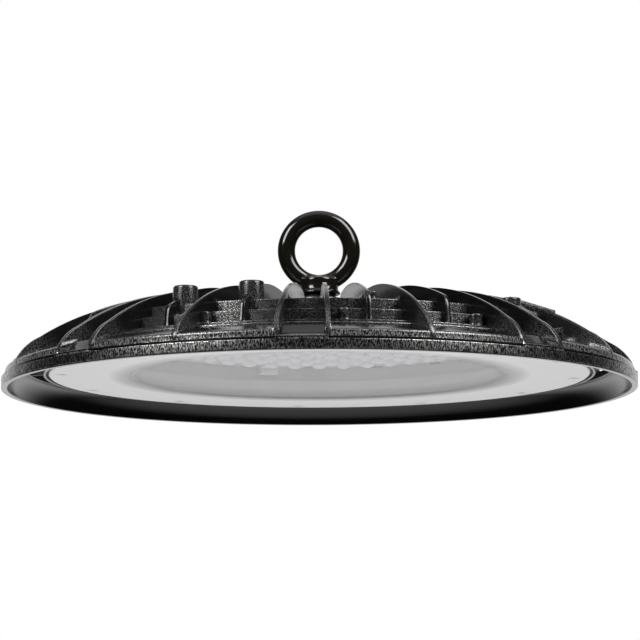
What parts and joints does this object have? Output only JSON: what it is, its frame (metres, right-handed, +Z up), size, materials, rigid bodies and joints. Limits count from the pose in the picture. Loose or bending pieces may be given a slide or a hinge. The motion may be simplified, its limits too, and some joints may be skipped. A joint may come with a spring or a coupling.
{
  "type": "high bay light",
  "caption": "Round LED high bay light: finned cast heat sink with an open rim ring, clear lens cover underneath and an eye bolt on top to hang it from.",
  "frame": {"origin": "centre of the rim's lower edge, on the plane that the rim rests on", "axes": "+Z up along the light's axis towards the eye bolt, light shines towards -Z; +X along the eye ring's width; -Y is the front that the picture shows"},
  "size_m": [0.32, 0.32, 0.0917],
  "materials": {
    "black_coat": "textured black powder coat on cast aluminium",
    "black_steel": "glossy black coating on forged steel",
    "clear_cover": "clear moulded cover, glossy",
    "gasket_rubber": "light grey silicone",
    "screw_steel": "plated steel",
    "white_plastic": "white moulded plastic, satin",
    "board_white": "white solder mask",
    "led_yellow": "phosphor yellow, unlit",
    "lens_plastic": "clear moulded lenses",
    "pad_grey": "soft thermal pad",
    "chip_black": "moulded chip packages",
    "fuse_green": "ceramic fuse body",
    "varistor_blue": "lacquered disc",
    "gland_plastic": "black nylon",
    "gland_rubber": "black rubber"
  },
  "bodies": {
    "root": {"heat_sink": "black_coat", "eye_bolt": "black_steel", "spring_washer": "black_steel", "lens_cover": "clear_cover", "lens_gasket": "gasket_rubber", "lens_screws": "screw_steel", "reflector": "white_plastic", "led_board": "board_white", "led_chips": "led_yellow", "lens_array": "lens_plastic", "board_screws": "screw_steel", "thermal_pad": "pad_grey", "terminal_block": "white_plastic", "rectifier": "chip_black", "fuse": "fuse_green", "varistor": "varistor_blue", "driver_chips": "chip_black", "sense_resistors": "chip_black", "earth_screw": "screw_steel", "gland_body": "gland_plastic", "gland_o_ring": "gland_rubber", "gland_seal": "gland_rubber", "gland_cap": "gland_plastic"}
  },
  "joints": []
}
